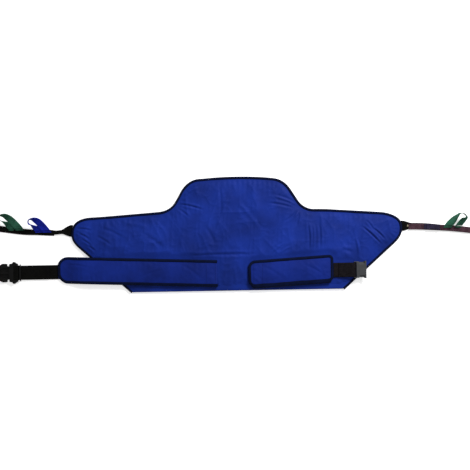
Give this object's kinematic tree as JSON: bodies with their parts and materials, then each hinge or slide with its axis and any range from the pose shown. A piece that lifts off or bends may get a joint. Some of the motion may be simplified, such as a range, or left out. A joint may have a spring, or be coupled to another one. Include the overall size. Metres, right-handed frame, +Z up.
{
  "type": "stand assist gait belt sling",
  "caption": "Padded stand-assist gait belt: shaped back panel, two padded belt arms with a side-release buckle, and lift straps with colour-coded loops.",
  "frame": {"origin": "middle of the sling's footprint as it lies open and flat, on the surface it lies on", "axes": "+X along the sling towards the female buckle, +Y towards the hump of the back panel, +Z up out of the padded face"},
  "size_m": [1.86, 0.398, 0.0436],
  "materials": {
    "panel_nylon": "matte coated nylon, royal blue",
    "pad_nylon": "matte coated nylon, royal blue",
    "binding_tape": "ribbed binding tape, near black",
    "foam": "open-cell polyurethane foam, off white",
    "black_webbing": "woven nylon webbing, black",
    "belt_webbing": "woven nylon webbing, brown black",
    "maroon_webbing": "woven nylon webbing, maroon",
    "blue_webbing": "woven nylon webbing, blue",
    "green_webbing": "woven nylon webbing, dark green",
    "black_acetal": "moulded acetal, black",
    "grey_acetal": "moulded acetal, grey"
  },
  "bodies": {
    "centre": {"centre_back_cover": "panel_nylon", "centre_load_webbing": "black_webbing", "centre_foam": "foam", "centre_front_cover": "panel_nylon", "centre_binding": "binding_tape", "centre_bottom_hem": "panel_nylon", "left_pad_inner_back_cover": "pad_nylon", "left_pad_inner_webbing": "black_webbing", "left_pad_inner_foam": "foam", "left_pad_inner_front_cover": "pad_nylon", "left_pad_inner_upper_binding": "binding_tape", "left_pad_inner_lower_binding": "binding_tape", "right_pad_inner_back_cover": "pad_nylon", "right_pad_inner_webbing": "belt_webbing", "right_pad_inner_foam": "foam", "right_pad_inner_front_cover": "pad_nylon", "right_pad_inner_binding": "binding_tape"},
    "left_wing": {"left_wing_back_cover": "panel_nylon", "left_wing_load_webbing": "black_webbing", "left_wing_foam": "foam", "left_wing_front_cover": "panel_nylon", "left_wing_binding": "binding_tape", "left_wing_bottom_hem": "panel_nylon"},
    "left_belt": {"left_pad_outer_back_cover": "pad_nylon", "left_pad_outer_webbing": "black_webbing", "left_pad_outer_foam": "foam", "left_pad_outer_front_cover": "pad_nylon", "left_pad_outer_binding": "binding_tape"},
    "left_strap": {"left_lift_strap": "black_webbing", "left_maroon_strap": "maroon_webbing"},
    "left_end_loop": {"left_end_loop": "maroon_webbing"},
    "left_blue_loop": {"left_blue_loop": "blue_webbing"},
    "left_green_loop": {"left_green_loop": "green_webbing"},
    "right_wing": {"right_wing_back_cover": "panel_nylon", "right_wing_load_webbing": "black_webbing", "right_wing_foam": "foam", "right_wing_front_cover": "panel_nylon", "right_wing_binding": "binding_tape", "right_wing_bottom_hem": "panel_nylon"},
    "right_belt": {"right_pad_outer_back_cover": "pad_nylon", "right_pad_outer_webbing": "belt_webbing", "right_pad_outer_foam": "foam", "right_pad_outer_front_cover": "pad_nylon", "right_pad_outer_binding": "binding_tape", "right_webbing": "belt_webbing"},
    "right_strap": {"right_lift_strap": "black_webbing", "right_maroon_strap": "maroon_webbing"},
    "right_end_loop": {"right_end_loop": "maroon_webbing"},
    "right_blue_loop": {"right_blue_loop": "blue_webbing"},
    "right_green_loop": {"right_green_loop": "green_webbing"},
    "left_belt_webbing": {"left_webbing_run": "black_webbing"},
    "male_buckle": {"left_webbing_tail": "black_webbing", "male_buckle_frame": "black_acetal"},
    "upper_prong": {"upper_prong": "black_acetal"},
    "lower_prong": {"lower_prong": "black_acetal"},
    "female_buckle": {"female_buckle": "grey_acetal"}
  },
  "joints": [
    {"name": "left_wing_fold", "type": "hinge", "parent": "centre", "child": "left_wing", "pos_m": [-0.25, 0, 0.0236], "axis": [0, 1, 0], "range_deg": [0, 72]},
    {"name": "left_belt_wrap", "type": "hinge", "parent": "centre", "child": "left_belt", "pos_m": [-0.25, -0.13, 0.0236], "axis": [0, 1, 0], "range_deg": [0, 90]},
    {"name": "right_wing_fold", "type": "hinge", "parent": "centre", "child": "right_wing", "pos_m": [0.25, 0, 0.0236], "axis": [0, -1, 0], "range_deg": [0, 72]},
    {"name": "right_belt_wrap", "type": "hinge", "parent": "centre", "child": "right_belt", "pos_m": [0.25, -0.13, 0.0236], "axis": [0, -1, 0], "range_deg": [0, 90]},
    {"name": "left_webbing_lift", "type": "hinge", "parent": "left_belt", "child": "left_belt_webbing", "pos_m": [-0.6253, -0.124, 0.0075], "axis": [0, 1, 0], "range_deg": [0, 60]},
    {"name": "belt_adjust", "type": "slide", "parent": "left_belt_webbing", "child": "male_buckle", "axis": [1, 0, 0], "range_m": [0, 0.028], "deforming": ["left_webbing_run"]},
    {"name": "upper_prong_press", "type": "hinge", "parent": "male_buckle", "child": "upper_prong", "pos_m": [-0.7973, -0.1085, 0.0063], "axis": [0, 0, 1], "range_deg": [0, 7], "stiffness_Nm_per_rad": 0.6},
    {"name": "lower_prong_press", "type": "hinge", "parent": "male_buckle", "child": "lower_prong", "pos_m": [-0.7973, -0.1395, 0.0063], "axis": [0, 0, -1], "range_deg": [0, 7], "stiffness_Nm_per_rad": 0.6},
    {"name": "female_buckle_tilt", "type": "hinge", "parent": "right_belt", "child": "female_buckle", "pos_m": [0.408, -0.133, 0.0183], "axis": [0, -1, 0], "range_deg": [0, 40]},
    {"name": "left_strap_lift", "type": "hinge", "parent": "left_wing", "child": "left_strap", "pos_m": [-0.5783, 0.015, 0.0075], "axis": [0, 1, 0], "range_deg": [0, 60]},
    {"name": "left_end_loop_lift", "type": "hinge", "parent": "left_strap", "child": "left_end_loop", "pos_m": [-0.8475, 0, 0.0125], "axis": [0, 1, 0], "range_deg": [0, 60]},
    {"name": "left_blue_loop_lift", "type": "hinge", "parent": "left_strap", "child": "left_blue_loop", "pos_m": [-0.69, 0.02, 0.0041], "axis": [1, 0, 0], "range_deg": [0, 60]},
    {"name": "left_green_loop_lift", "type": "hinge", "parent": "left_strap", "child": "left_green_loop", "pos_m": [-0.79, 0.0292, 0.0041], "axis": [1, 0, 0], "range_deg": [0, 60]},
    {"name": "right_strap_lift", "type": "hinge", "parent": "right_wing", "child": "right_strap", "pos_m": [0.5783, 0.015, 0.0075], "axis": [0, -1, 0], "range_deg": [0, 60]},
    {"name": "right_end_loop_lift", "type": "hinge", "parent": "right_strap", "child": "right_end_loop", "pos_m": [0.8475, 0, 0.0125], "axis": [0, -1, 0], "range_deg": [0, 60]},
    {"name": "right_green_loop_lift", "type": "hinge", "parent": "right_strap", "child": "right_green_loop", "pos_m": [0.77, 0.014, 0.0061], "axis": [1, 0, 0], "range_deg": [0, 60]},
    {"name": "right_blue_loop_lift", "type": "hinge", "parent": "right_strap", "child": "right_blue_loop", "pos_m": [0.6545, 0.0134, 0.012], "axis": [0, -1, 0], "range_deg": [0, 80]}
  ],
  "couplings": [
    {"joint": "left_belt_wrap", "follows": "left_wing_fold", "ratio": 1.25},
    {"joint": "right_belt_wrap", "follows": "right_wing_fold", "ratio": 1.25},
    {"joint": "lower_prong_press", "follows": "upper_prong_press", "ratio": 1}
  ]
}
